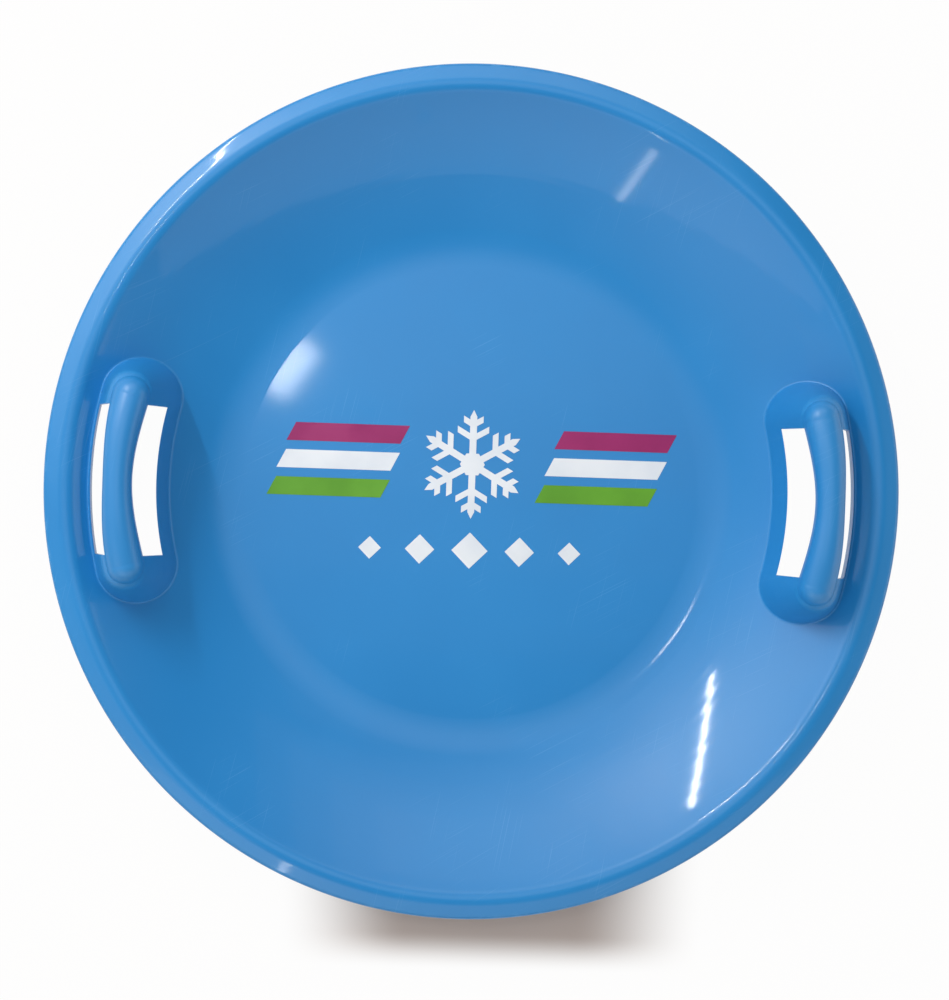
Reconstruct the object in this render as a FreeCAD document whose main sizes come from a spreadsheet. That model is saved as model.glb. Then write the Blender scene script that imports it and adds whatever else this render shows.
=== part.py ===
"""Saucer sled: a round moulded dish, two hollow grips let into its wall, and cut films on its floor.

Millimetres, +Z up, the dish lying open side up. The origin is the middle of the underside of the floor,
the grips lie on the X axis, and the films read along +X.
"""
import FreeCAD, Part
import math
import os
import Sketcher

doc = FreeCAD.newDocument("saucer_sled")

# Driving sizes, in millimetres and degrees.
SIZES = {
    # Dish
    "rim_radius": 300,          # outside of the turned-down lip
    "skin": 3,                  # plastic thickness of the dish
    "wall_run": 136,            # from the edge of the flat floor to the rim, in plan
    "base_bend": 80,            # bend between floor and wall, on the upper side
    "wall_start_slope": 20,     # wall where the bend ends, from level
    "wall_end_slope": 39,       # wall where the rim's bend begins, from level
    "flange_width": 13.4,       # from the highest circle of the rim to its outside, in plan
    "rim_bend": 8.5,            # bend over the highest circle, on the under side
    "flange_slope": 20,         # fall of the rim's flange, from level
    "edge_bend": 0.8,           # bend from flange to lip, on the under side
    "lip_drop": 8,              # straight part of the lip
    "lip_round": 1.2,           # rounding of the lip's free edge
    # Grips
    "foot_clearance": 0.6,      # between a grip's foot and the rim's bend, in plan
    "foot_outer_reach": 33.2,   # foot under the dish, from the grip's middle line towards the rim
    "foot_inner_reach": 42,     # the same, towards the sled's middle
    "dome_rise": 23,            # top of the domes, above the rim
    "dome_half_width": 12.4,    # half width of a dome at its top, before rounding
    "dome_draft": 16,           # lean of the flanks from upright
    "roof_half_width": 1.5,     # level part of a dome's top, from its middle to the rounding
    "dome_set_back": 8.7,       # centre of a domed end, beyond the end of the slots
    "grip_skin": 3,             # plastic thickness of a grip
    "foot_thickness": 3,
    "joint_gap": 0.15,          # clearance between grip and dish
    "slot_half_length": 52,
    "slot_inner_reach": 24.3,   # edge of the slots, from the grip's middle line towards the sled's middle
    "slot_outer_reach": 20,     # the same, towards the rim
    # Bar of a grip
    "bar_shift": 1.5,           # middle line of the bar, from the grip's middle line towards the sled's middle
    "bar_overlap": 6.7,         # centre of the bar's round end, beyond the end of the slots
    "bar_end_rise": 18,         # bar's axis at its ends, above the rim
    "bar_arch": 6.5,            # further rise of the axis to the middle of the bar
    "bar_half_width": 9.8,      # at the middle
    "bar_flare": 2.7,           # growth of the half width towards the ends
    "bar_depth": 6,             # straight sides below the axis
    "rib_thickness": 2,         # cross ribs inside the bar
    "rib_set_back": 1.5,        # ribs' lower edge, above the bar's lower edge
    # Films on the floor: their thickness, and shares of the flat floor's radius
    "film": 0.2,
    "film_shift_share": 0.12,       # middle of the crystal and stripes, from the sled's axis
    "crystal_radius_share": 0.24,
    "crystal_hub_share": 0.055,     # corner radius of the hexagon in the middle
    "arm_width_share": 0.03,
    "branch_width_share": 0.025,
    "branch_length_share": 0.08,
    "branch_start_share": 0.1,      # first pair of branches along an arm
    "branch_step_share": 0.06,      # from one pair to the next
    "branch_shrink_share": 0.03,    # shorter by this at each pair outwards
    "stripe_start_share": 0.32,     # inner end of the middle stripe
    "stripe_length_share": 0.5,
    "stripe_height_share": 0.08,
    "stripe_pitch_share": 0.12,
    "stripe_lean_share": 0.04,      # sideways shift over one stripe height
    "stripe_stagger_share": 0.04,   # shift of one stripe against the next
    "diamond_shift_share": 0.26,    # row of diamonds, from the sled's axis, the other way
    "diamond_half_share": 0.08,     # half diagonal of the middle diamond
    "diamond_shrink_share": 0.015,  # smaller by this at each place outwards
    "diamond_pitch_share": 0.22,
}

sheet = doc.addObject("Spreadsheet::Sheet", "sizes")
for row, (alias, number) in enumerate(SIZES.items(), start=1):
    sheet.set(f"A{row}", alias)
    sheet.set(f"B{row}", str(number))
    sheet.setAlias(f"B{row}", alias)
doc.recompute()

ORIGIN = (-1, 1)
START, END, CENTRE = range(1, 4)
FULL_TURN = 360
HALF_TURN = 180
TOUCHING = 0.01
BAR_STEPS = 3
CRYSTAL_ARMS = 6
BRANCH_PAIRS = 2
ENDS = (("far", 1, False), ("near", -1, True))


def value(expression):
    """Number that an expression on the sheet gives now."""
    return float(sheet.evalExpression(expression))


def wall_height(radius, depth):
    """Expression for the height of the curved wall at a radius, at a depth square to its upper side."""
    return f"({WALL_CENTRE_UP} - sqrt(({WALL_CURVE} + {depth})^2 - ({radius} - {WALL_CENTRE_ACROSS})^2))"


def film_size(name):
    """Expression for a size of the films, which grow with the flat floor."""
    return f"(sizes.{name}_share * {BASE_RADIUS})"


BASE_RADIUS = "(sizes.rim_radius - sizes.wall_run)"
CROWN_RADIUS = "(sizes.rim_radius - sizes.flange_width)"
OUTER_RIM_BEND = "(sizes.rim_bend + sizes.skin)"
OUTER_EDGE_BEND = "(sizes.edge_bend + sizes.skin)"
WALL_CURVE = (f"(({CROWN_RADIUS} - {BASE_RADIUS} - sizes.base_bend * sin(sizes.wall_start_slope)"
              f" - {OUTER_RIM_BEND} * sin(sizes.wall_end_slope))"
              " / (sin(sizes.wall_end_slope) - sin(sizes.wall_start_slope)))")
WALL_CENTRE_ACROSS = f"({BASE_RADIUS} - ({WALL_CURVE} - sizes.base_bend) * sin(sizes.wall_start_slope))"
WALL_CENTRE_UP = (f"(sizes.skin + sizes.base_bend + ({WALL_CURVE} - sizes.base_bend)"
                  " * cos(sizes.wall_start_slope))")
CROWN = (f"({WALL_CENTRE_UP} + {OUTER_RIM_BEND}"
         f" - ({WALL_CURVE} + {OUTER_RIM_BEND}) * cos(sizes.wall_end_slope))")
DOME_TOP = f"({CROWN} + sizes.dome_rise)"
LIP_FOOT = (f"({CROWN} - {OUTER_RIM_BEND} + ({OUTER_RIM_BEND} - {OUTER_EDGE_BEND}) / cos(sizes.flange_slope)"
            f" - (sizes.flange_width - {OUTER_EDGE_BEND}) * tan(sizes.flange_slope) - sizes.lip_drop)")
GRIP_RADIUS = (f"({CROWN_RADIUS} - sizes.rim_bend * sin(sizes.wall_end_slope) - sizes.foot_clearance"
               " - sizes.foot_outer_reach)")
GRIP_REACH = "(sizes.slot_half_length + sizes.dome_set_back)"
GRIP_ANGLE = f"(asin({GRIP_REACH} / {GRIP_RADIUS}) / 1 deg)"
DOME_ROUND = ("((sizes.dome_half_width - sizes.roof_half_width) * cos(sizes.dome_draft)"
              " / (1 - sin(sizes.dome_draft)))")
SLOT_INNER_RADIUS = f"({GRIP_RADIUS} - sizes.slot_inner_reach)"
SLOT_OUTER_RADIUS = f"({GRIP_RADIUS} + sizes.slot_outer_reach)"
BAR_RADIUS = f"({GRIP_RADIUS} - sizes.bar_shift)"
BAR_ANGLE = f"(asin((sizes.slot_half_length + sizes.bar_overlap) / {BAR_RADIUS}) / 1 deg)"


def new_body(label):
    """Body whose label is the name of its node."""
    body = doc.addObject("PartDesign::Body", label)
    body.Label = label
    return body


def new_sketch(body, name, role, height=None, turned=None, radius=None):
    """Sketch on one of the body's origin planes.

    It is lifted by a height, or turned about the vertical by an angle and then moved outwards by a radius.
    """
    sketch = body.newObject("Sketcher::SketchObject", name)
    plane = next(item for item in body.Origin.OriginFeatures if item.Role == role)
    sketch.AttachmentSupport = [(plane, "")]
    sketch.MapMode = "FlatFace"
    if height is not None:
        sketch.setExpression("AttachmentOffset.Base.z", height)
    if turned is not None:
        rotation = FreeCAD.Rotation(FreeCAD.Vector(0, 1, 0), value(turned))
        sketch.AttachmentOffset = FreeCAD.Placement(FreeCAD.Vector(), rotation)
        sketch.setExpression("AttachmentOffset.Rotation.Angle", turned)
    if radius is not None:
        sketch.setExpression("AttachmentOffset.Base.x", f"{radius} * cos({turned})")
        sketch.setExpression("AttachmentOffset.Base.z", f"-{radius} * sin({turned})")
    return sketch


def constrain(sketch, kind, *where, size=None):
    """Add a constraint; one with a size is bound to its expression."""
    if size is None:
        sketch.addConstraint(Sketcher.Constraint(kind, *where))
        return
    number = value(size)
    if kind == "Angle":
        number = math.radians(number)
    index = sketch.addConstraint(Sketcher.Constraint(kind, *where, number))
    sketch.setExpression(f"Constraints[{index}]", size)


def line(sketch, start, end):
    """Straight line between two points; gives its index."""
    return sketch.addGeometry(Part.LineSegment(FreeCAD.Vector(*start, 0), FreeCAD.Vector(*end, 0)))


def arc(sketch, centre, radius, first, last):
    """Arc, counter-clockwise between two angles in degrees; gives its index."""
    circle = Part.Circle(FreeCAD.Vector(*centre, 0), FreeCAD.Vector(0, 0, 1), radius)
    return sketch.addGeometry(Part.ArcOfCircle(circle, math.radians(first), math.radians(last)))


def polygon(sketch, corners):
    """Closed polygon whose corners are pairs of expressions."""
    points = [(value(across), value(up)) for across, up in corners]
    sides = [line(sketch, point, points[(place + 1) % len(points)]) for place, point in enumerate(points)]
    for place, side in enumerate(sides):
        constrain(sketch, "Coincident", side, END, sides[(place + 1) % len(sides)], START)
    for side, (across, up) in zip(sides, corners):
        constrain(sketch, "DistanceX", *ORIGIN, side, START, size=across)
        constrain(sketch, "DistanceY", *ORIGIN, side, START, size=up)


def bent_stadium(sketch, outer_reach, inner_reach):
    """Closed outline with round ends, bent about the sled's axis, at two reaches from a grip's middle line."""
    half = (value(outer_reach) + value(inner_reach)) / 2
    middle = value(GRIP_RADIUS) + value(outer_reach) - half
    spread = math.degrees(math.asin(value(GRIP_REACH) / middle))
    centre = (middle * math.cos(math.radians(spread)), middle * math.sin(math.radians(spread)))
    outer = arc(sketch, (0, 0), middle + half, -spread, spread)
    far_end = arc(sketch, centre, half, spread, spread + HALF_TURN)
    inner = arc(sketch, (0, 0), middle - half, -spread, spread)
    near_end = arc(sketch, (centre[0], -centre[1]), half, HALF_TURN - spread, FULL_TURN - spread)
    constrain(sketch, "Coincident", outer, CENTRE, *ORIGIN)
    constrain(sketch, "Coincident", inner, CENTRE, *ORIGIN)
    constrain(sketch, "Tangent", outer, END, far_end, START)
    constrain(sketch, "Tangent", far_end, END, inner, END)
    constrain(sketch, "Tangent", inner, START, near_end, START)
    constrain(sketch, "Tangent", near_end, END, outer, START)
    constrain(sketch, "Radius", outer, size=f"{GRIP_RADIUS} + {outer_reach}")
    constrain(sketch, "Radius", inner, size=f"{GRIP_RADIUS} - {inner_reach}")
    constrain(sketch, "DistanceY", *ORIGIN, far_end, CENTRE, size=GRIP_REACH)
    constrain(sketch, "DistanceY", *ORIGIN, near_end, CENTRE, size=f"-{GRIP_REACH}")


def pad(body, sketch, length, midplane=False):
    """Raise a sketch by a length."""
    feature = body.newObject("PartDesign::Pad", f"{sketch.Name}_pad")
    feature.Profile = sketch
    feature.Midplane = midplane
    feature.setExpression("Length", length)
    return feature


def turn(body, sketch, kind="Revolution", angle=str(FULL_TURN), midplane=False, backwards=False):
    """Turn a sketch about its own vertical axis, adding (Revolution) or cutting (Groove)."""
    feature = body.newObject(f"PartDesign::{kind}", f"{sketch.Name}_turn")
    feature.Profile = sketch
    feature.ReferenceAxis = (sketch, ["V_Axis"])
    feature.Midplane = midplane
    feature.Reversed = backwards
    feature.setExpression("Angle", angle)
    return feature


def dish_profile(sketch):
    """Half section of the dish: floor, bend, curved wall, crown, flange and lip, one skin thick."""
    skin = value("sizes.skin")
    start_slope = value("sizes.wall_start_slope")
    end_slope = value("sizes.wall_end_slope")
    fall = value("sizes.flange_slope")
    bend = value("sizes.base_bend")
    crown = (value(CROWN_RADIUS), value(f"{CROWN} - {OUTER_RIM_BEND}"))
    base = (value(BASE_RADIUS), skin + bend)
    wall_centre = (value(WALL_CENTRE_ACROSS), value(WALL_CENTRE_UP))
    wall_curves = [WALL_CURVE, f"({WALL_CURVE} + sizes.skin)"]
    rim = value("sizes.rim_radius")
    rim_bends = [value(OUTER_RIM_BEND), value("sizes.rim_bend")]
    edge_bends = [value(OUTER_EDGE_BEND), value("sizes.edge_bend")]
    edge_across = rim - edge_bends[0]
    drop = (edge_across - crown[0]) * math.tan(math.radians(fall))
    edge_up = crown[1] + (rim_bends[0] - edge_bends[0]) / math.cos(math.radians(fall)) - drop
    edge = (edge_across, edge_up)
    foot = edge_up - value("sizes.lip_drop")

    def on_arc(centre, radius, angle):
        """Point of a circle at an angle in degrees."""
        return (centre[0] + radius * math.cos(math.radians(angle)),
                centre[1] + radius * math.sin(math.radians(angle)))

    quarter = 90
    base_angles = (3 * quarter, 3 * quarter + start_slope)
    wall_angles = (3 * quarter + start_slope, 3 * quarter + end_slope)
    rim_angles = (quarter - fall, quarter + end_slope)
    edge_angles = (0, quarter - fall)
    sides = []
    for side, base_radius in enumerate((bend, bend + skin)):
        floor = line(sketch, (0, skin * (1 - side)), (base[0], skin * (1 - side)))
        base_arc = arc(sketch, base, base_radius, *base_angles)
        wall = arc(sketch, wall_centre, value(wall_curves[side]), *wall_angles)
        rim_arc = arc(sketch, crown, rim_bends[side], *rim_angles)
        flange = line(sketch, on_arc(crown, rim_bends[side], rim_angles[0]),
                      on_arc(edge, edge_bends[side], edge_angles[1]))
        edge_arc = arc(sketch, edge, edge_bends[side], *edge_angles)
        lip = line(sketch, (edge[0] + edge_bends[side], edge[1]), (edge[0] + edge_bends[side], foot))
        constrain(sketch, "Horizontal", floor)
        constrain(sketch, "Vertical", lip)
        constrain(sketch, "Tangent", floor, END, base_arc, START)
        constrain(sketch, "Tangent", base_arc, END, wall, START)
        constrain(sketch, "Tangent", wall, END, rim_arc, END)
        constrain(sketch, "Tangent", rim_arc, START, flange, START)
        constrain(sketch, "Tangent", flange, END, edge_arc, END)
        constrain(sketch, "Tangent", edge_arc, START, lip, START)
        constrain(sketch, "Radius", wall, size=wall_curves[side])
        sides.append((floor, base_arc, wall, rim_arc, flange, edge_arc, lip))
    upper, lower = sides
    axis = line(sketch, (0, 0), (0, skin))
    lip_end = line(sketch, (edge[0] + edge_bends[1], foot), (edge[0] + edge_bends[0], foot))
    constrain(sketch, "Vertical", axis)
    constrain(sketch, "Horizontal", lip_end)
    constrain(sketch, "Coincident", axis, START, *ORIGIN)
    constrain(sketch, "Coincident", axis, START, lower[0], START)
    constrain(sketch, "Coincident", axis, END, upper[0], START)
    constrain(sketch, "Coincident", lip_end, START, lower[6], END)
    constrain(sketch, "Coincident", lip_end, END, upper[6], END)
    for bend_place in (1, 3, 5):
        constrain(sketch, "Coincident", upper[bend_place], CENTRE, lower[bend_place], CENTRE)
    constrain(sketch, "DistanceY", *ORIGIN, axis, END, size="sizes.skin")
    constrain(sketch, "DistanceX", *ORIGIN, upper[0], END, size=BASE_RADIUS)
    constrain(sketch, "Radius", upper[1], size="sizes.base_bend")
    constrain(sketch, "DistanceX", *ORIGIN, upper[2], CENTRE, size=WALL_CENTRE_ACROSS)
    constrain(sketch, "DistanceX", *ORIGIN, upper[3], CENTRE, size=CROWN_RADIUS)
    constrain(sketch, "Radius", upper[3], size=OUTER_RIM_BEND)
    constrain(sketch, "Radius", lower[3], size="sizes.rim_bend")
    constrain(sketch, "Angle", upper[4], size="-sizes.flange_slope")
    constrain(sketch, "Radius", upper[5], size=OUTER_EDGE_BEND)
    constrain(sketch, "Radius", lower[5], size="sizes.edge_bend")
    constrain(sketch, "DistanceX", *ORIGIN, upper[6], START, size="sizes.rim_radius")
    constrain(sketch, "DistanceY", upper[6], END, upper[6], START, size="sizes.lip_drop")


def flank_half_width(height):
    """Expression for half the width across a grip's flanks at a height."""
    return f"(sizes.dome_half_width + ({DOME_TOP} - {height}) * tan(sizes.dome_draft))"


def build_dish():
    """The dish: a turned skin with a rounded lip and an opening for each grip."""
    body = new_body("dish")
    profile = new_sketch(body, "dish_profile", "XZ_Plane")
    dish_profile(profile)
    skin = turn(body, profile)
    doc.recompute()
    lip_end = value("sizes.rim_radius - sizes.skin / 2")
    lip_faces = [f"Face{place}" for place, face in enumerate(skin.Shape.Faces, start=1)
                 if face.distToShape(Part.Vertex(lip_end, 0, value(LIP_FOOT)))[0] < TOUCHING]
    rounding = body.newObject("PartDesign::Fillet", "lip_rounding")
    rounding.Base = (skin, lip_faces)
    rounding.setExpression("Radius", "sizes.lip_round")
    low = f"({flank_half_width('0')} + sizes.joint_gap)"
    high = "(sizes.dome_half_width + sizes.joint_gap)"
    for side, facing in (("right", 0), ("left", HALF_TURN)):
        run = new_sketch(body, f"{side}_opening", "XZ_Plane", turned=str(facing))
        polygon(run, [(f"{GRIP_RADIUS} - {low}", "0"), (f"{GRIP_RADIUS} + {low}", "0"),
                      (f"{GRIP_RADIUS} + {high}", DOME_TOP), (f"{GRIP_RADIUS} - {high}", DOME_TOP)])
        turn(body, run, "Groove", f"2 * {GRIP_ANGLE}", midplane=True)
        for end, sign, backwards in ENDS:
            facing_end = f"({facing} + {sign} * {GRIP_ANGLE})"
            cap = new_sketch(body, f"{side}_opening_{end}_end", "XZ_Plane", turned=facing_end,
                             radius=GRIP_RADIUS)
            polygon(cap, [("0", "0"), (low, "0"), (high, DOME_TOP), ("0", DOME_TOP)])
            turn(body, cap, "Groove", str(HALF_TURN), backwards=backwards)
    return body


def dome_half_section(sketch, middle, outwards):
    """Half section of a grip's skin, from its middle to one flank: flank, rounding and level top."""
    sign = 1 if outwards else -1
    draft = value("sizes.dome_draft")
    lean = math.radians(draft)
    axis = value(middle)
    top = value(DOME_TOP)
    skin = value("sizes.grip_skin")
    foot = value(flank_half_width("0"))
    bends = [value(DOME_ROUND), value(f"{DOME_ROUND} - sizes.grip_skin")]
    centre_up = top - bends[0]
    centre_out = foot - centre_up * math.tan(lean) - bends[0] / math.cos(lean)
    centre = (axis + sign * centre_out, centre_up)
    quarter = 90
    angles = (draft, quarter) if outwards else (quarter, HALF_TURN - draft)
    flank_side, top_side = (START, END) if outwards else (END, START)
    sides = []
    for bend in bends:
        foot_out = foot - (bends[0] - bend) / math.cos(lean)
        shoulder = (centre[0] + sign * bend * math.cos(lean), centre_up + bend * math.sin(lean))
        flank = line(sketch, (axis + sign * foot_out, 0), shoulder)
        rounding = arc(sketch, centre, bend, *angles)
        roof = line(sketch, (centre[0], centre_up + bend), (axis, centre_up + bend))
        constrain(sketch, "Tangent", flank, END, rounding, flank_side)
        constrain(sketch, "Tangent", rounding, top_side, roof, START)
        constrain(sketch, "Horizontal", roof)
        sides.append((flank, rounding, roof))
    outer, inner = sides
    foot_line = line(sketch, (axis + sign * (foot - skin / math.cos(lean)), 0), (axis + sign * foot, 0))
    middle_line = line(sketch, (axis, top - skin), (axis, top))
    constrain(sketch, "Coincident", foot_line, START, inner[0], START)
    constrain(sketch, "Coincident", foot_line, END, outer[0], START)
    constrain(sketch, "Coincident", middle_line, START, inner[2], END)
    constrain(sketch, "Coincident", middle_line, END, outer[2], END)
    constrain(sketch, "Coincident", outer[1], CENTRE, inner[1], CENTRE)
    constrain(sketch, "Parallel", outer[0], inner[0])
    constrain(sketch, "Horizontal", foot_line)
    constrain(sketch, "Vertical", middle_line)
    direction = f"90 + {sign} * sizes.dome_draft"
    constrain(sketch, "Angle", outer[0], size=direction)
    constrain(sketch, "Radius", outer[1], size=DOME_ROUND)
    constrain(sketch, "Radius", inner[1], size=f"{DOME_ROUND} - sizes.grip_skin")
    constrain(sketch, "DistanceX", *ORIGIN, middle_line, END, size=middle)
    constrain(sketch, "DistanceY", *ORIGIN, middle_line, END, size=DOME_TOP)
    foot_across = f"{middle} + {sign} * {flank_half_width('0')}"
    constrain(sketch, "DistanceX", *ORIGIN, foot_line, END, size=foot_across)
    constrain(sketch, "DistanceY", *ORIGIN, foot_line, END, size="0")


def bar_height(place):
    """Expression for the height of the bar's axis, from -1 to 1 along it."""
    return f"({CROWN} + sizes.bar_end_rise + sizes.bar_arch * (1 - ({place})^2))"


def bar_half_width(place):
    """Expression for half the bar's width, which grows evenly in and out of the flare."""
    return f"(sizes.bar_half_width + sizes.bar_flare * abs({place})^2 * (3 - 2 * abs({place})))"


def bar_section(sketch, place, inset="0", depth="sizes.bar_depth"):
    """Section across the bar: round above its axis and straight-sided below, open to a smaller inset copy."""
    across = value(BAR_RADIUS)
    up = value(bar_height(place))
    half_width = f"({bar_half_width(place)} - {inset})"
    half = value(half_width)
    foot = up - value(depth)
    crest = arc(sketch, (across, up), half, 0, HALF_TURN)
    inner_side = line(sketch, (across - half, up), (across - half, foot))
    floor = line(sketch, (across - half, foot), (across + half, foot))
    outer_side = line(sketch, (across + half, foot), (across + half, up))
    constrain(sketch, "Tangent", crest, END, inner_side, START)
    constrain(sketch, "Coincident", inner_side, END, floor, START)
    constrain(sketch, "Coincident", floor, END, outer_side, START)
    constrain(sketch, "Tangent", outer_side, END, crest, START)
    constrain(sketch, "Horizontal", floor)
    constrain(sketch, "Vertical", inner_side)
    constrain(sketch, "Vertical", outer_side)
    constrain(sketch, "DistanceX", *ORIGIN, crest, CENTRE, size=BAR_RADIUS)
    constrain(sketch, "DistanceY", *ORIGIN, crest, CENTRE, size=bar_height(place))
    constrain(sketch, "Radius", crest, size=half_width)
    constrain(sketch, "DistanceY", outer_side, START, outer_side, END, size=depth)


def bar_end_section(sketch, inset="0", depth="sizes.bar_depth"):
    """Half section of the bar's round end, about the upright axis of that end."""
    up = value(bar_height("1"))
    half_width = f"({bar_half_width('1')} - {inset})"
    half = value(half_width)
    foot = up - value(depth)
    crest = arc(sketch, (0, up), half, 0, HALF_TURN / 2)
    axis = line(sketch, (0, up + half), (0, foot))
    floor = line(sketch, (0, foot), (half, foot))
    side = line(sketch, (half, foot), (half, up))
    constrain(sketch, "Coincident", crest, END, axis, START)
    constrain(sketch, "Coincident", axis, END, floor, START)
    constrain(sketch, "Coincident", floor, END, side, START)
    constrain(sketch, "Tangent", side, END, crest, START)
    constrain(sketch, "Horizontal", floor)
    constrain(sketch, "Vertical", side)
    constrain(sketch, "Vertical", axis)
    constrain(sketch, "DistanceX", *ORIGIN, axis, END, size="0")
    constrain(sketch, "DistanceX", *ORIGIN, crest, CENTRE, size="0")
    constrain(sketch, "DistanceY", *ORIGIN, crest, CENTRE, size=bar_height("1"))
    constrain(sketch, "Radius", crest, size=half_width)
    constrain(sketch, "DistanceY", side, START, side, END, size=depth)


def loft(body, name, kind, sections):
    """Smooth skin through a row of sections, adding or cutting."""
    feature = body.newObject(f"PartDesign::{kind}Loft", name)
    feature.Profile = sections[0]
    feature.Sections = sections[1:]


def slot_outline(sketch):
    """Window of a grip in plan: two arcs about the sled's axis with straight ends across the grip."""
    half = value("sizes.slot_half_length")
    arcs = []
    corners = []
    for radius in (SLOT_INNER_RADIUS, SLOT_OUTER_RADIUS):
        spread = math.degrees(math.asin(half / value(radius)))
        arcs.append(arc(sketch, (0, 0), value(radius), -spread, spread))
        corners.append(math.sqrt(value(radius) ** 2 - half ** 2))
        constrain(sketch, "Coincident", arcs[-1], CENTRE, *ORIGIN)
        constrain(sketch, "Radius", arcs[-1], size=radius)
    for end, sign in ((END, 1), (START, -1)):
        across = line(sketch, (corners[0], sign * half), (corners[1], sign * half))
        constrain(sketch, "Coincident", across, START, arcs[0], end)
        constrain(sketch, "Coincident", across, END, arcs[1], end)
        constrain(sketch, "Horizontal", across)
        constrain(sketch, "DistanceY", *ORIGIN, across, START, size=f"{sign} * sizes.slot_half_length")


def wall_side(sketch, depth, above):
    """Region on one side of the curved wall at a depth, as far as the rim, to be cut away all round."""
    limit = f"2 * {DOME_TOP}" if above else f"-{DOME_TOP}"
    curve = f"({WALL_CURVE} + {depth})"
    centre = (value(WALL_CENTRE_ACROSS), value(WALL_CENTRE_UP))
    inner_edge = value(BASE_RADIUS)
    outer_edge = value("sizes.rim_radius")
    end = value(limit)
    angles = [-math.degrees(math.acos((edge - centre[0]) / value(curve)))
              for edge in (inner_edge, outer_edge)]
    wall = arc(sketch, centre, value(curve), *angles)
    outer = line(sketch, (outer_edge, value(wall_height("sizes.rim_radius", depth))), (outer_edge, end))
    level = line(sketch, (outer_edge, end), (inner_edge, end))
    inner = line(sketch, (inner_edge, end), (inner_edge, value(wall_height(BASE_RADIUS, depth))))
    constrain(sketch, "Coincident", wall, END, outer, START)
    constrain(sketch, "Coincident", outer, END, level, START)
    constrain(sketch, "Coincident", level, END, inner, START)
    constrain(sketch, "Coincident", inner, END, wall, START)
    constrain(sketch, "Vertical", outer)
    constrain(sketch, "Vertical", inner)
    constrain(sketch, "Horizontal", level)
    constrain(sketch, "DistanceX", *ORIGIN, wall, CENTRE, size=WALL_CENTRE_ACROSS)
    constrain(sketch, "DistanceY", *ORIGIN, wall, CENTRE, size=WALL_CENTRE_UP)
    constrain(sketch, "Radius", wall, size=curve)
    constrain(sketch, "DistanceX", *ORIGIN, wall, START, size=BASE_RADIUS)
    constrain(sketch, "DistanceX", *ORIGIN, wall, END, size="sizes.rim_radius")
    constrain(sketch, "DistanceY", *ORIGIN, level, START, size=limit)


def build_grip(label, facing):
    """A grip: foot under the wall, hollow domed ends, slots, and an arched bar that is open below."""
    body = new_body(label)
    seat = "(sizes.skin + sizes.joint_gap)"
    middle_flank = flank_half_width(wall_height(GRIP_RADIUS, seat))
    flank_reaches = []
    for sign in ("+", "-"):
        level = wall_height(f"({GRIP_RADIUS} {sign} {middle_flank})", seat)
        flank_reaches.append(f"({flank_half_width(level)} - sizes.grip_skin / 2)")
    foot = new_sketch(body, f"{label}_foot", "XY_Plane")
    bent_stadium(foot, "sizes.foot_outer_reach", "sizes.foot_inner_reach")
    bent_stadium(foot, *flank_reaches)
    pad(body, foot, DOME_TOP)
    above = new_sketch(body, f"{label}_above_foot", "XZ_Plane")
    wall_side(above, seat, above=True)
    turn(body, above, "Groove")
    for half, outwards in (("outer", True), ("inner", False)):
        run = new_sketch(body, f"{label}_{half}_run", "XZ_Plane")
        dome_half_section(run, GRIP_RADIUS, outwards)
        turn(body, run, "Revolution", f"2 * {GRIP_ANGLE}", midplane=True)
    for end, sign, backwards in ENDS:
        dome = new_sketch(body, f"{label}_{end}_dome", "XZ_Plane", turned=f"({sign} * {GRIP_ANGLE})",
                          radius=GRIP_RADIUS)
        dome_half_section(dome, "0", outwards=True)
        turn(body, dome, "Revolution", str(HALF_TURN), backwards=backwards)
    below = new_sketch(body, f"{label}_below_foot", "XZ_Plane")
    wall_side(below, f"({seat} + sizes.foot_thickness)", above=False)
    turn(body, below, "Groove")
    slots = new_sketch(body, f"{label}_slots", "XY_Plane", height=f"2 * {DOME_TOP}")
    slot_outline(slots)
    window = body.newObject("PartDesign::Pocket", f"{label}_window")
    window.Profile = slots
    window.Type = "ThroughAll"
    core_depth = "(sizes.bar_depth + sizes.grip_skin)"
    for name, kind, inset, depth in (("bar", "Additive", "0", "sizes.bar_depth"),
                                     ("core", "Subtractive", "sizes.grip_skin", core_depth)):
        sections = []
        for step in range(-BAR_STEPS, BAR_STEPS + 1):
            place = f"({step} / {BAR_STEPS})"
            section = new_sketch(body, f"{label}_{name}_{step + BAR_STEPS}", "XZ_Plane",
                                 turned=f"({place} * {BAR_ANGLE})")
            bar_section(section, place, inset, depth)
            sections.append(section)
        loft(body, f"{label}_{name}", kind, sections)
        for end, sign, backwards in ENDS:
            tip = new_sketch(body, f"{label}_{name}_{end}_end", "XZ_Plane",
                             turned=f"({sign} * {BAR_ANGLE})", radius=BAR_RADIUS)
            bar_end_section(tip, inset, depth)
            tip_kind = "Revolution" if kind == "Additive" else "Groove"
            turn(body, tip, tip_kind, str(HALF_TURN), backwards=backwards)
    for step in range(1 - BAR_STEPS, BAR_STEPS):
        place = f"({step} / {BAR_STEPS})"
        rib = new_sketch(body, f"{label}_rib_{step + BAR_STEPS}", "XZ_Plane",
                         turned=f"({place} * {BAR_ANGLE})")
        bar_section(rib, place, "sizes.grip_skin / 2", "(sizes.bar_depth - sizes.rib_set_back)")
        pad(body, rib, "sizes.rib_thickness", midplane=True)
    body.Placement = FreeCAD.Placement(FreeCAD.Vector(), FreeCAD.Rotation(FreeCAD.Vector(0, 0, 1), facing))
    return body


def lay_on_floor(body, across, up):
    """Move a film to its place on the floor's upper side."""
    body.setExpression("Placement.Base.x", across)
    body.setExpression("Placement.Base.y", up)
    body.setExpression("Placement.Base.z", "sizes.skin")


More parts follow.
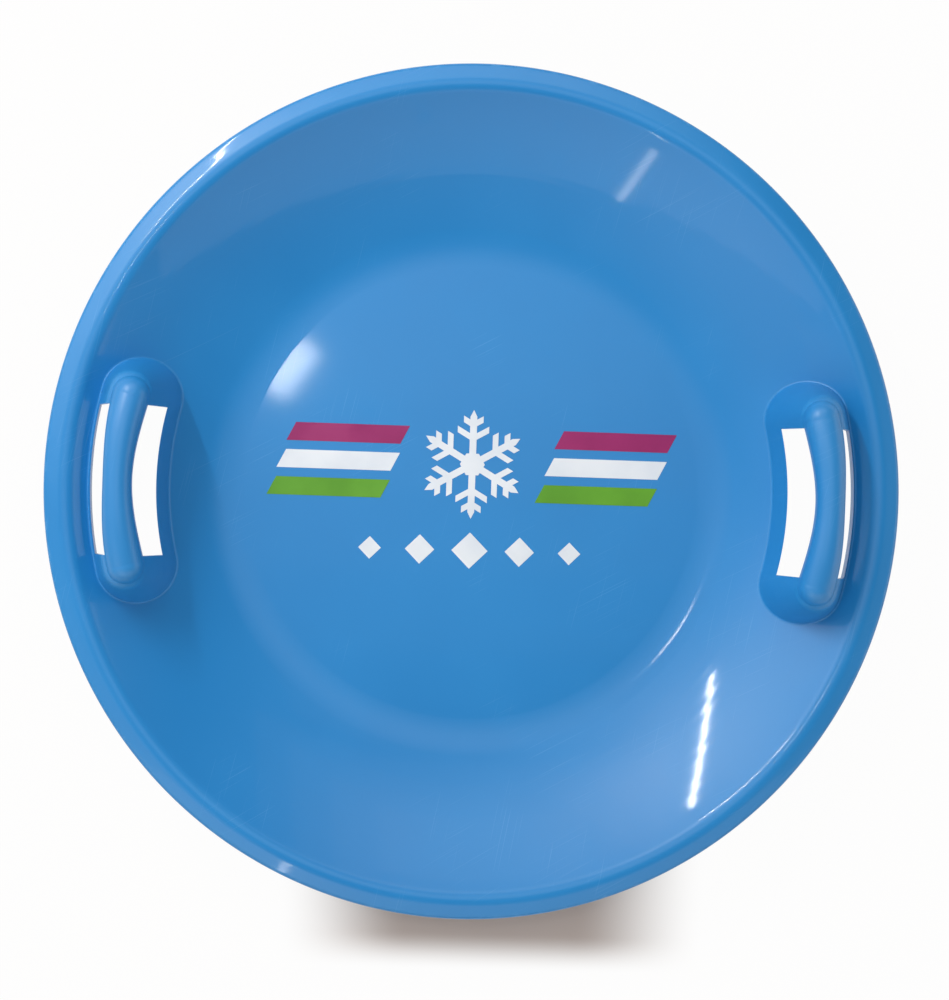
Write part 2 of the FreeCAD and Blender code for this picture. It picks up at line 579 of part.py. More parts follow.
def build_crystal():
    """White film: a six-armed snow crystal, each arm pointed and with two pairs of branches."""
    body = new_body("snow_crystal")
    hub = new_sketch(body, "crystal_hub", "XY_Plane")
    corner_turn = FULL_TURN / CRYSTAL_ARMS
    hub_radius = film_size("crystal_hub")
    angles = [corner * corner_turn for corner in range(CRYSTAL_ARMS)]
    polygon(hub, [(f"{hub_radius} * cos({angle})", f"{hub_radius} * sin({angle})") for angle in angles])
    pad(body, hub, "sizes.film")
    arm = new_sketch(body, "crystal_arm", "XY_Plane")
    tip = film_size("crystal_radius")
    half_arm = f"{film_size('arm_width')} / 2"
    shoulder = f"{tip} - {film_size('arm_width')}"
    polygon(arm, [(f"-{half_arm}", "0"), (half_arm, "0"), (half_arm, shoulder),
                  ("0", tip), (f"-{half_arm}", shoulder)])
    arm_features = [pad(body, arm, "sizes.film")]
    for pair in range(BRANCH_PAIRS):
        branches = new_sketch(body, f"crystal_branches_{pair}", "XY_Plane")
        root = f"({film_size('branch_start')} + {pair} * {film_size('branch_step')})"
        length = f"({film_size('branch_length')} - {pair} * {film_size('branch_shrink')})"
        reach = f"({length} * sin({corner_turn}))"
        lower_tip = f"({root} + {length} * cos({corner_turn}))"
        thickness = f"{film_size('branch_width')} / sin({corner_turn})"
        upper_tip = f"{lower_tip} + {thickness}"
        fork = f"{root} + {thickness}"
        polygon(branches, [("0", root), (reach, lower_tip), (reach, upper_tip), ("0", fork),
                           (f"-{reach}", upper_tip), (f"-{reach}", lower_tip)])
        arm_features.append(pad(body, branches, "sizes.film"))
    ring = body.newObject("PartDesign::PolarPattern", "crystal_arms")
    ring.Originals = arm_features
    ring.Axis = (hub, ["N_Axis"])
    ring.Angle = FULL_TURN
    ring.Occurrences = CRYSTAL_ARMS
    body.Tip = ring
    lay_on_floor(body, "0", film_size("film_shift"))
    return body


def build_stripe(label, sign, row):
    """A slanted stripe beside the crystal: on its right (sign 1), or that turned by half a turn (sign -1)."""
    body = new_body(label)
    outline = new_sketch(body, f"{label}_outline", "XY_Plane")
    near = f"({film_size('stripe_start')} + {row} * {film_size('stripe_stagger')})"
    far = f"({near} + {film_size('stripe_length')})"
    half = f"{film_size('stripe_height')} / 2"
    lean = film_size("stripe_lean")
    corners = [(near, f"-{half}"), (far, f"-{half}"),
               (f"({far} + {lean})", half), (f"({near} + {lean})", half)]
    polygon(outline, [(f"{sign} * {across}", f"{sign} * ({row} * {film_size('stripe_pitch')} + {up})")
                      for across, up in corners])
    pad(body, outline, "sizes.film")
    lay_on_floor(body, "0", film_size("film_shift"))
    return body


def build_diamond(label, place):
    """A white diamond of the row below, smaller the further it lies from the middle."""
    body = new_body(label)
    outline = new_sketch(body, f"{label}_outline", "XY_Plane")
    half = f"({film_size('diamond_half')} - {abs(place)} * {film_size('diamond_shrink')})"
    polygon(outline, [(half, "0"), ("0", half), (f"-{half}", "0"), ("0", f"-{half}")])
    pad(body, outline, "sizes.film")
    lay_on_floor(body, f"{place} * {film_size('diamond_pitch')}", f"-{film_size('diamond_shift')}")
    return body


nodes = [build_dish(), build_grip("left_handle", HALF_TURN), build_grip("right_handle", 0), build_crystal()]
for side, sign in (("left", -1), ("right", 1)):
    for colour, row in (("magenta", 1), ("white", 0), ("green", -1)):
        nodes.append(build_stripe(f"{side}_{colour}_stripe", sign, sign * row))
for name, place in (("far_left", -2), ("left", -1), ("middle", 0), ("right", 1), ("far_right", 2)):
    nodes.append(build_diamond(f"{name}_diamond", place))
doc.recompute()

for item in doc.Objects:
    if "Invalid" in item.State or "Error" in item.State:
        raise RuntimeError(f"{item.Label} failed: {item.getStatusString()}")
for node in nodes:
    if node.Shape.isNull() or not node.Shape.isValid():
        raise RuntimeError(f"{node.Label} has no valid shape")
os.makedirs("parts", exist_ok=True)
for node in nodes:
    node.Shape.exportStep(f"parts/{node.Label}.step")
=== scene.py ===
"""Saucer sled: a moulded dish with two rigid grips and a film decoration, seen from above its open side."""

import bpy
import numpy as np
from mathutils import Matrix, Vector


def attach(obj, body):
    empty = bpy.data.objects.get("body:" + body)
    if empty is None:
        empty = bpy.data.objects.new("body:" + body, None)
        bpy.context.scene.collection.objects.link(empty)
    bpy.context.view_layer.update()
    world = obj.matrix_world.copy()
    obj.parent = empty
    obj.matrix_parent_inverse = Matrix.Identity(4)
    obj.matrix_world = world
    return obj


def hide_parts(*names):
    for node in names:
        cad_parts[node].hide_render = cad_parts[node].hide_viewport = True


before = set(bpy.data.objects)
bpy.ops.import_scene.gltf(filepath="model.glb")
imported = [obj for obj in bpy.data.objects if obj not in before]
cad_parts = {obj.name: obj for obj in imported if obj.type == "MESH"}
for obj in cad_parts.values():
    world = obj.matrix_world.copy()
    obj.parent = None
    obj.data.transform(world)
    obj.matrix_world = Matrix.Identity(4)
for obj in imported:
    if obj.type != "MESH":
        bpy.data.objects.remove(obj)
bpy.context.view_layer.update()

# Dish. The sled itself is one skin of blue polyethylene, moulded in a turned tool: a flat floor, a wall that
# steepens outwards, and a rim that is rolled over, falls a little and ends in a turned-down lip.
# The left and right walls are open where the grips come up through them.
MILLIMETRE = 0.001
SKIN = 3.0
FLOOR_RADIUS = 164.0
FLOOR_BEND = 80.0
WALL_SLOPES = np.radians([20.0, 39.0])
CROWN_RADIUS = 286.6
CROWN_BEND = 11.5
WALL_START = FLOOR_RADIUS + FLOOR_BEND * np.sin(WALL_SLOPES[0])
WALL_END = CROWN_RADIUS - CROWN_BEND * np.sin(WALL_SLOPES[1])
WALL_CURVE = (WALL_END - WALL_START) / (np.sin(WALL_SLOPES[1]) - np.sin(WALL_SLOPES[0]))
WALL_CENTRE = (FLOOR_RADIUS - (WALL_CURVE - FLOOR_BEND) * np.sin(WALL_SLOPES[0]),
               SKIN + FLOOR_BEND + (WALL_CURVE - FLOOR_BEND) * np.cos(WALL_SLOPES[0]))
CROWN_HEIGHT = WALL_CENTRE[1] + CROWN_BEND - (WALL_CURVE + CROWN_BEND) * np.cos(WALL_SLOPES[1])
FLANGE_FALL = np.radians(20.0)
EDGE_RADIUS = 296.2
EDGE_BEND = 3.8
LIP_DROP = 8.0
LIP_ROUND = 1.2
TURNING_MARK = 0.007
TURNING_WAVES = ((7.6, 1.0), (5.3, 0.6))
TURNED_RADII = (180.0, 189.0, 274.0, 279.0)
FLOOR_EDGE_SWELL = 0.12
FLOOR_EDGE_RADIUS = 172.5
AROUND = 400
UPPER_ROWS = (10, 42, 9, 12, 4, 8)
UNDER_ROWS = (6, 10, 4, 7, 3, 4)
FLOOR_CROWDING = 2.5
LIP_ROWS = 3
LIP_ROUND_POINTS = 6
WINDOW_COLUMNS = 27
WINDOW_ROWS = 60
WINDOW_RADII = (203.0, 278.5)
COLLAR_SHARES = np.array([0.0, 0.04, 0.1, 0.2, 0.34, 0.5, 0.68, 0.85])

# Outline of the grips, which the openings in the wall follow.
GRIP_RADIUS = 247.451
GRIP_REACH = 60.7
GRIP_ANGLE = np.arcsin(GRIP_REACH / GRIP_RADIUS)
DOME_HALF_WIDTH = 12.4
DOME_DRAFT = np.radians(16.0)
DOME_TOP = CROWN_HEIGHT + 23.0
HOLE_INSET = 1.2
HOLE_ROUNDS = 4


def wall_height(radius, depth=0.0):
    """Height of the wall, an arc about a centre above it, at a depth square to its upper side."""
    return WALL_CENTRE[1] - np.sqrt((WALL_CURVE + depth) ** 2 - (radius - WALL_CENTRE[0]) ** 2)


def arc_points(centre, radius, first, last, count):
    """Points of a circle about a centre, at even steps between two angles in degrees."""
    angles = np.radians(np.linspace(first, last, count))
    return np.stack([centre[0] + radius * np.cos(angles), centre[1] + radius * np.sin(angles)], axis=1)


def run_points(start, end, count):
    """Points at even steps on a straight line, without its two ends."""
    shares = np.linspace(0, 1, count + 1)[1:-1, None]
    return np.asarray(start) * (1 - shares) + np.asarray(end) * shares


def dish_side(depth, counts, mark=0.0):
    """One side of the dish's section, from the floor outwards, as (radius, height) rows.

    The upper side lies at depth 0 and the under side at one skin. The bends are arcs about shared centres, so
    a depth makes the floor's bend and the wall larger and the rim's bends smaller. The floor's rows crowd towards
    its edge. The wall's rows between the two window radii are even, so that the openings' collars can join on.
    The wall is waved square to itself by sines of the radius, a mark high: the rings that the turned tool leaves.
    With a mark, the floor's bend also swells a little, steeply at first, so that the flat floor ends in a faint
    edge, and then falls softly to the wall.
    """
    floor_rows, bend_rows, wall_rows, crown_rows, flange_rows, edge_rows = counts
    start_slope, end_slope = np.degrees(WALL_SLOPES)
    fall = np.degrees(FLANGE_FALL)
    crown_centre = (CROWN_RADIUS, CROWN_HEIGHT - CROWN_BEND)
    edge_height = (crown_centre[1] + (CROWN_BEND - EDGE_BEND) / np.cos(FLANGE_FALL)
                   - (EDGE_RADIUS - CROWN_RADIUS) * np.tan(FLANGE_FALL))
    bend = arc_points((FLOOR_RADIUS, SKIN + FLOOR_BEND), FLOOR_BEND + depth, 270, 270 + start_slope, bend_rows)
    crown = arc_points(crown_centre, CROWN_BEND - depth, 90 + end_slope, 90 - fall, crown_rows)
    edge = arc_points((EDGE_RADIUS, edge_height), EDGE_BEND - depth, 90 - fall, 0, edge_rows)
    radii = np.linspace(*WINDOW_RADII, WINDOW_ROWS + 1)
    window = np.stack([radii, wall_height(radii, depth)], axis=1)
    floor_radii = FLOOR_RADIUS * (1 - np.linspace(1, 0, floor_rows + 1)[1:-1] ** FLOOR_CROWDING)
    floor = np.stack([floor_radii, np.full_like(floor_radii, SKIN - depth)], axis=1)
    lip_top = edge[-1]
    lip_end = np.array([lip_top[0], edge_height - LIP_DROP + LIP_ROUND])
    lip = np.concatenate([run_points(lip_top, lip_end, LIP_ROWS), lip_end[None]])
    foot_radii = np.linspace(bend[-1, 0], WINDOW_RADII[0], wall_rows + 1)[1:-1]
    foot = np.stack([foot_radii, wall_height(foot_radii, depth)], axis=1)
    rows = [floor, bend, foot, window, crown, run_points(crown[-1], edge[0], flange_rows), edge, lip]
    first_window_row = sum(len(part) for part in rows[:3])
    rows = np.concatenate(rows)
    radii = rows[:, 0]
    wave = mark * sum(share * np.sin(2 * np.pi * radii / length) for length, share in TURNING_WAVES)
    wave *= np.interp(radii, TURNED_RADII, (0, 1, 1, 0))
    if mark:
        climb = np.clip((radii - FLOOR_RADIUS) / (FLOOR_EDGE_RADIUS - FLOOR_RADIUS), 0, 1)
        descent = np.clip((radii - FLOOR_EDGE_RADIUS) / (bend[-1, 0] - FLOOR_EDGE_RADIUS), 0, 1)
        wave += FLOOR_EDGE_SWELL * climb * (2 - climb) * (1 - descent) ** 2 * (1 + 2 * descent)
    slope = np.arcsin(np.clip((radii - WALL_CENTRE[0]) / WALL_CURVE, -1, 1))
    return rows + wave[:, None] * np.stack([-np.sin(slope), np.cos(slope)], axis=1), first_window_row


def spine_offset(points):
    """Plan points as measured from the nearest points of a grip's middle line, and those nearest points.

    The middle line is an arc about the sled's axis that ends at the centres of the grip's two domed ends.
    """
    angles = np.clip(np.arctan2(points[..., 1], points[..., 0]), -GRIP_ANGLE, GRIP_ANGLE)
    nearest = GRIP_RADIUS * np.stack([np.cos(angles), np.sin(angles)], axis=-1)
    return points - nearest, nearest


def hole_outline(perimeter):
    """Opening in the wall, opposite each point of a loop round it.

    From the nearest point of the grip's middle line it lies outwards by the width of the grip's leaning flank
    where that meets the wall, less a small inset, so that the skin's cut edge ends inside the flank. The width
    and the wall's height there depend on each other, so they are settled in a few rounds.
    """
    offset, nearest = spine_offset(perimeter)
    outwards = offset / np.linalg.norm(offset, axis=-1, keepdims=True)
    width = np.full(len(perimeter), DOME_HALF_WIDTH)
    for _ in range(HOLE_ROUNDS):
        radius = np.linalg.norm(nearest + outwards * width[:, None], axis=-1)
        width = DOME_HALF_WIDTH + (DOME_TOP - wall_height(radius)) * np.tan(DOME_DRAFT)
    return nearest + outwards * (width - HOLE_INSET)[:, None]


def loop_quads(first, second):
    """Quads between two closed loops of vertex numbers."""
    return np.stack([first, second, np.roll(second, -1), np.roll(first, -1)], axis=1)


def dish_mesh():
    """The dish: the section's closed line turned about the axis, with a collar of quads round each opening.

    Each collar runs in plan from a rectangle of the turned grid to the opening's outline, at the wall's height,
    on the upper and the under side, and a strip joins the two outlines through the skin.
    """
    upper, upper_start = dish_side(0.0, UPPER_ROWS, TURNING_MARK)
    under, under_start = dish_side(SKIN, UNDER_ROWS)
    outer_round = arc_points(upper[-1] - (LIP_ROUND, 0), LIP_ROUND, 0, -90, LIP_ROUND_POINTS)[1:]
    inner_round = arc_points(under[-1] + (LIP_ROUND, 0), LIP_ROUND, 180, 270, LIP_ROUND_POINTS)[1:]
    section = np.concatenate([upper, outer_round, inner_round[::-1], under[::-1]])
    rows = len(section)
    angles = np.arange(AROUND) * (2 * np.pi / AROUND)
    grid = np.stack([section[:, :1] * np.cos(angles), section[:, :1] * np.sin(angles),
                     np.repeat(section[:, 1:], AROUND, axis=1)], axis=-1).reshape(-1, 3)
    numbers = np.arange(rows * AROUND).reshape(rows, AROUND)
    following = np.roll(numbers, -1, axis=1)
    quads = np.stack([numbers[:-1], numbers[1:], following[1:], following[:-1]], axis=-1)
    kept = np.ones((rows - 1, AROUND), bool)
    parts = [grid]
    faces = []
    total = len(grid)
    for middle in (0, AROUND // 2):
        columns = (middle + np.arange(-WINDOW_COLUMNS, WINDOW_COLUMNS + 1)) % AROUND
        facing = 1 if middle == 0 else -1
        outlines = []
        for start, step, depth in ((upper_start, 1, 0.0), (rows - 1 - under_start, -1, SKIN)):
            span = start + step * np.arange(WINDOW_ROWS + 1)
            kept[min(span[0], span[-1]):max(span[0], span[-1]), columns[:-1]] = False
            loop = np.concatenate([numbers[span[0], columns[:-1]], numbers[span[:-1], columns[-1]],
                                   numbers[span[-1], columns[:0:-1]], numbers[span[:0:-1], columns[0]]])
            perimeter = grid[loop, :2]
            outline = facing * hole_outline(facing * perimeter)
            shares = COLLAR_SHARES[:, None, None]
            plan = outline * (1 - shares) + perimeter * shares
            height = wall_height(np.linalg.norm(plan, axis=-1), depth)
            parts.append(np.concatenate([plan, height[..., None]], axis=-1).reshape(-1, 3))
            layers = total + np.arange(plan.shape[0] * plan.shape[1]).reshape(plan.shape[:2])
            total += layers.size
            for outer, inner in zip([*layers[1:], loop], layers):
                faces.append(loop_quads(outer, inner)[:, ::step])
            outlines.append(layers[0])
        faces.append(loop_quads(*outlines))
    poles = np.array([[0, 0, SKIN], [0, 0, 0]])
    pole_faces = [np.stack([np.full(AROUND, total), numbers[0], following[0]], axis=1),
                  np.stack([np.full(AROUND, total + 1), following[-1], numbers[-1]], axis=1)]
    return np.concatenate([*parts, poles]), [quads[kept], *faces], pole_faces


def new_piece(name, vertices, face_groups, sharp_angle=40.0):
    """Smooth-shaded object at the origin from millimetre vertices and groups of faces, creased at sharp angles."""
    mesh = bpy.data.meshes.new(name)
    faces = [face for group in face_groups for face in group.tolist()]
    mesh.from_pydata(np.asarray(vertices) * MILLIMETRE, [], faces)
    mesh.validate()
    mesh.shade_smooth()
    mesh.set_sharp_from_angle(angle=np.radians(sharp_angle))
    piece = bpy.data.objects.new(name, mesh)
    bpy.context.scene.collection.objects.link(piece)
    return piece


dish_vertices, dish_quads, dish_poles = dish_mesh()
dish = new_piece("dish_skin", dish_vertices, [*dish_quads, *dish_poles])


class Socket:
    """A shader socket. Arithmetic on it adds Math nodes, and add() puts any other node into its tree."""

    def __init__(self, tree, output):
        self.tree = tree
        self.output = output

    def add(self, kind, settings=None, inputs=None, output=0):
        """New node of a kind, with its settings and then the values or links of its sockets."""
        node = self.tree.nodes.new(kind)
        for name, setting in (settings or {}).items():
            setattr(node, name, setting)
        for name, given in (inputs or {}).items():
            if isinstance(given, Socket):
                self.tree.links.new(given.output, node.inputs[name])
            else:
                node.inputs[name].default_value = given
        return Socket(self.tree, node.outputs[output]) if len(node.outputs) else None

    def maths(self, operation, first, second=0.0):
        """Math node on two sockets or numbers."""
        return self.add("ShaderNodeMath", {"operation": operation}, {0: first, 1: second})

    def __add__(self, other):
        return self.maths("ADD", self, other)

    def __radd__(self, other):
        return self.maths("ADD", other, self)

    def __sub__(self, other):
        return self.maths("SUBTRACT", self, other)

    def __rsub__(self, other):
        return self.maths("SUBTRACT", other, self)

    def __mul__(self, other):
        return self.maths("MULTIPLY", self, other)

    def __rmul__(self, other):
        return self.maths("MULTIPLY", other, self)

    def size(self):
        """Absolute value."""
        return self.maths("ABSOLUTE", self)

    def axis(self, name):
        """One coordinate of a place, by its letter."""
        return self.add("ShaderNodeSeparateXYZ", None, {"Vector": self}, output=name)

    def radius(self):
        """Distance of a place from the upright axis."""
        across, along = self.axis("X"), self.axis("Y")
        return self.maths("SQRT", across * across + along * along)

    def ease(self, low, high):
        """0 below low, 1 above high, and a soft step between; falls instead of rising if high is below low."""
        ends = (0.0, 1.0) if low < high else (1.0, 0.0)
        return self.add("ShaderNodeMapRange", {"interpolation_type": "SMOOTHSTEP"},
                        {"Value": self, "From Min": min(low, high), "From Max": max(low, high),
                         "To Min": ends[0], "To Max": ends[1]})

    def noise(self, scale, detail=2.0, roughness=0.5):
        """Soft noise from 0 to 1 at a scale per metre; the socket is a place."""
        return self.add("ShaderNodeTexNoise", None,
                        {"Vector": self, "Scale": scale, "Detail": detail, "Roughness": roughness})

    def turned(self, angle, units):
        """The place turned about the vertical and then measured in units, for a pattern that runs one way."""
        return self.add("ShaderNodeMapping", {"vector_type": "TEXTURE"},
                        {"Vector": self, "Rotation": (0.0, 0.0, angle), "Scale": units})

    def between(self, low, high):
        """Colour from low to high, as the socket goes from 0 to 1."""
        return self.add("ShaderNodeMix", {"data_type": "RGBA"}, {"Factor": self, 6: low, 7: high}, output=2)


def new_material(name):
    """Empty material and the place on the surface, in the object's own metres."""
    material = bpy.data.materials.new(name)
    material.use_nodes = True
    material.node_tree.nodes.clear()
    start = Socket(material.node_tree, None)
    return material, start.add("ShaderNodeTexCoord", output="Object")


def finish_material(material, place, colour, roughness, height, others):
    """Plastic shader with a colour, a roughness, a relief in metres, and values for its other sockets."""
    relief = place.add("ShaderNodeBump", None, {"Strength": 1.0, "Distance": 1.0, "Height": height})
    shader = place.add("ShaderNodeBsdfPrincipled", None,
                       {"Base Color": colour, "Roughness": roughness, "Normal": relief, **others})
    place.add("ShaderNodeOutputMaterial", None, {"Surface": shader})


SCRATCH_LENGTH = 0.09
SCRATCH_SOFTNESS = 0.03


def scratches(place, angle, spacing, keep):
    """Fine straight scratches at one angle: stretched noise, kept only where it peaks and where a patch allows."""
    lines = place.turned(angle, (SCRATCH_LENGTH, spacing, 1.0)).noise(1.0, 1.0)
    patches = place.noise(14.0, 2.0)
    return lines.ease(keep, keep + SCRATCH_SOFTNESS) * patches.ease(0.5, 0.62)


BLUE = (0.013, 0.218, 0.535, 1.0)
DEEP_BLUE = (0.011, 0.204, 0.510, 1.0)
WORN_BLUE = (0.100, 0.330, 0.640, 1.0)
PLASTIC_IOR = 1.45
GLOSS_IOR = 1.5
WORN_LIP_RADII = (0.2965, 0.2995)
SCRATCH_WEAR = 0.35
LIP_WEAR = 0.5
GRAIN_HEIGHT = 2.5e-6
WAVE_HEIGHT = 1.6e-4
SCRATCH_DEPTH = 6e-6


def blue_plastic(name, sheen, gloss, gloss_roughness):
    """Blue polyethylene with slow colour drift, moulding waves, fine scratches and dull scuffs.

    It has a broad sheen of a roughness, and a gloss of a strength and a roughness on top that is weaker where
    the surface is worn.
    """
    material, place = new_material(name)
    drift = place.noise(7.0, 3.0).ease(0.3, 0.7)
    scored = scratches(place, 0.5, 0.0007, 0.69) + scratches(place, 1.35, 0.0008, 0.7)
    scuffs = place.noise(30.0, 5.0, 0.65).ease(0.6, 0.75)
    rubbed_lip = place.radius().ease(*WORN_LIP_RADII) * place.noise(90.0, 4.0, 0.7).ease(0.5, 0.68)
    worn = place.maths("MINIMUM", scored * SCRATCH_WEAR + rubbed_lip * LIP_WEAR, 1.0)
    colour = worn.between(drift.between(DEEP_BLUE, BLUE), WORN_BLUE)
    roughness = sheen + 0.05 * drift + 0.06 * scuffs + 0.10 * worn
    coat = gloss * (1.0 - 0.10 * drift - 0.20 * scuffs - 0.35 * worn)
    height = (place.noise(420.0, 2.0) * GRAIN_HEIGHT + place.noise(11.0, 1.0) * WAVE_HEIGHT
              - scored * SCRATCH_DEPTH)
    finish_material(material, place, colour, roughness, height,
                    {"IOR": PLASTIC_IOR, "Coat Weight": coat, "Coat Roughness": gloss_roughness,
                     "Coat IOR": GLOSS_IOR})
    return material


dish.data.materials.append(blue_plastic("moulded_blue", 0.38, 0.28, 0.065))
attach(dish, "root")
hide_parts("dish")

# Grips. Each is a hollow blue moulding that comes up through the wall and is held by a foot welded under it.
# Two domed ends carry an arched bar, and the roof beside the bar is cut away for the fingers.
# The bar is open below and stiffened by cross ribs. The left grip is the right one turned by half a turn.
GRIP_SKIN = 3.0
ROOF_HALF_WIDTH = 1.5
DOME_ROUND = (DOME_HALF_WIDTH - ROOF_HALF_WIDTH) * np.cos(DOME_DRAFT) / (1 - np.sin(DOME_DRAFT))
SLOT_END = 52.0
SLOT_RADII = (GRIP_RADIUS + 20.0, GRIP_RADIUS - 24.3)
BAR_RADIUS = GRIP_RADIUS - 1.5
BAR_OVERRUN = 6.7
BAR_ANGLE = np.arcsin((SLOT_END + BAR_OVERRUN) / BAR_RADIUS)
BAR_AXIS = CROWN_HEIGHT + 18.0
BAR_ARCH = 6.5
BAR_HALF_WIDTH = 9.8
BAR_FLARE = 2.7
BAR_DEPTH = 6.0
BAR_BLEND = 5.0
BAR_SIDE_SLOPE = 12.0
BAR_HIDDEN_ENDS = np.array([0.02, 4.0])
BAR_DRAWN_IN = 0.5
RIB_PLACES = np.linspace(-2, 2, 5) / 3
RIB_HALF_THICKNESS = 1.0
RIB_LIFT = 1.5
FOOT_REACHES = (33.2, 42.0)
FOOT_THICKNESS = 3.0
JOINT_GAP = 0.15
FOOT_FILLET = 1.5
FILLET_TUCK = 0.5
RUN_LINES = 44
SIDE_LINES = 5
FAN_LINES = 110
ROOF_ROWS = 84
FILLET_ROWS = 6
PLATE_POINTS = 5
CEILING_ROWS = 21
CEILING_CROWDING = 1.4
SHELL_ROUNDS = 5
BAR_STATIONS = 61
BAR_CREST_POINTS = 33
BAR_LEG_POINTS = 3
BAR_ROUNDS = 4
RIB_CREST_POINTS = 15


def grip_lines():
    """Cross lines round a grip: straight across its two runs, then turning about the centres of its domed ends.

    Each line is a row of: side (1 towards the rim, -1 towards the middle), Y of its slot edge, share of the way
    from a line of equal Y to a line from the sled's axis, fan angle, and whether it belongs to the fan.
    """
    run = np.linspace(-SLOT_END, SLOT_END, RUN_LINES + 1)
    shares = np.linspace(0, 1, SIDE_LINES + 1)[1:]
    fan = np.linspace(0, np.pi, FAN_LINES + 1)[1:-1]

    def block(side, edge, share, angle, in_fan):
        """Lines that share most of their values."""
        values = (side, edge, share, angle, in_fan)
        count = max(np.size(value) for value in values)
        return np.stack([np.broadcast_to(value, count).astype(float) for value in values], axis=1)

    far = [block(1, SLOT_END, shares, 0, 0), block(1, SLOT_END, 1, GRIP_ANGLE + fan, 1),
           block(-1, SLOT_END, shares[::-1], 0, 0)]
    near = [block(-1, -SLOT_END, shares, 0, 0), block(1, -SLOT_END, 1, np.pi - GRIP_ANGLE + fan, 1),
            block(1, -SLOT_END, shares[::-1], 0, 0)]
    return np.concatenate([block(1, run, 0, 0, 0), *far, block(-1, run[::-1], 0, 0, 0), *near])


def plan_at(lines, distance):
    """Plan points of the cross lines at distances from the grip's middle line, as (line, distance, 2)."""
    side, edge, share, fan_angle, in_fan = (lines[:, None, column] for column in range(5))
    radius = GRIP_RADIUS + side * distance
    end_angle = np.sign(edge) * GRIP_ANGLE
    angle = (1 - share) * np.arcsin(edge / radius) + share * end_angle
    straight = np.stack([radius * np.cos(angle), radius * np.sin(angle)], axis=-1)
    centre = GRIP_RADIUS * np.stack([np.cos(end_angle), np.sin(end_angle)], axis=-1)
    turned = centre + distance[..., None] * np.stack([np.cos(fan_angle), np.sin(fan_angle)], axis=-1)
    return np.where(in_fan[..., None] > 0, turned, straight)


def dome_height(distance, inset=0.0):
    """Height of a dome over its plan: level, then an arc, then the straight flank, all an inset deeper inside."""
    bend = DOME_ROUND - inset
    across = distance - ROOF_HALF_WIDTH
    on_arc = np.clip(across, 0, bend * np.cos(DOME_DRAFT))
    down_flank = np.clip(across - bend * np.cos(DOME_DRAFT), 0, None) / np.tan(DOME_DRAFT)
    return DOME_TOP - DOME_ROUND + np.sqrt(bend ** 2 - on_arc ** 2) - down_flank


def bar_place(points):
    """Share along the bar from -1 to 1, and distance from its middle line, whose ends are round."""
    angles = np.clip(np.arctan2(points[..., 1], points[..., 0]), -BAR_ANGLE, BAR_ANGLE)
    nearest = BAR_RADIUS * np.stack([np.cos(angles), np.sin(angles)], axis=-1)
    return angles / BAR_ANGLE, np.linalg.norm(points - nearest, axis=-1)


def bar_axis(place):
    """Height of the bar's axis: a parabola from its two ends to its middle."""
    return BAR_AXIS + BAR_ARCH * (1 - place ** 2)


def bar_half_width(place):
    """Half the bar's width: a soft step from the middle to the ends."""
    return BAR_HALF_WIDTH + BAR_FLARE * np.abs(place) ** 2 * (3 - 2 * np.abs(place))


def roof_height(points):
    """Outside of a grip's roof: the higher of dome and bar, with a soft hollow where they meet."""
    place, offset = bar_place(points)
    half = bar_half_width(place)
    round_top = np.sqrt(np.clip(half ** 2 - offset ** 2, 0, None))
    crest = bar_axis(place) + round_top - BAR_SIDE_SLOPE * np.clip(offset - half, 0, None)
    offsets, _ = spine_offset(points)
    dome = dome_height(np.linalg.norm(offsets, axis=-1))
    share = np.clip(0.5 + 0.5 * (crest - dome) / BAR_BLEND, 0, 1)
    return dome * (1 - share) + crest * share + BAR_BLEND * share * (1 - share)


def slot_edges(lines):
    """Plan points of the slots' outline opposite each cross line: its long edges and its two straight ends.

    The lines round a domed end share out the straight end by their way round it, and crowd a little at its corners.
    """
    radii = np.where(lines[:, 0] > 0, *SLOT_RADII)
    edge = lines[:, 1]
    in_cap = lines[:, 2] > 0
    rounding = plan_at(lines, np.full((len(lines), 1), GRIP_RADIUS - SLOT_RADII[1]))[:, 0]
    for end in (1, -1):
        picked = np.flatnonzero(in_cap & (np.sign(edge) == end))
        ordered = picked if end > 0 else picked[::-1]
        steps = np.linalg.norm(np.diff(rounding[ordered], axis=0), axis=1)
        way = np.concatenate([[0], np.cumsum(steps)])
        way = (way + steps[0]) / (way[-1] + 2 * steps[0])
        eased = (1 - np.cos(np.pi * way)) / 2
        share = (way + eased) / 2
        radii[ordered] = SLOT_RADII[0] * (1 - share) + SLOT_RADII[1] * share
    return np.stack([np.sqrt(radii ** 2 - edge ** 2), edge], axis=-1)


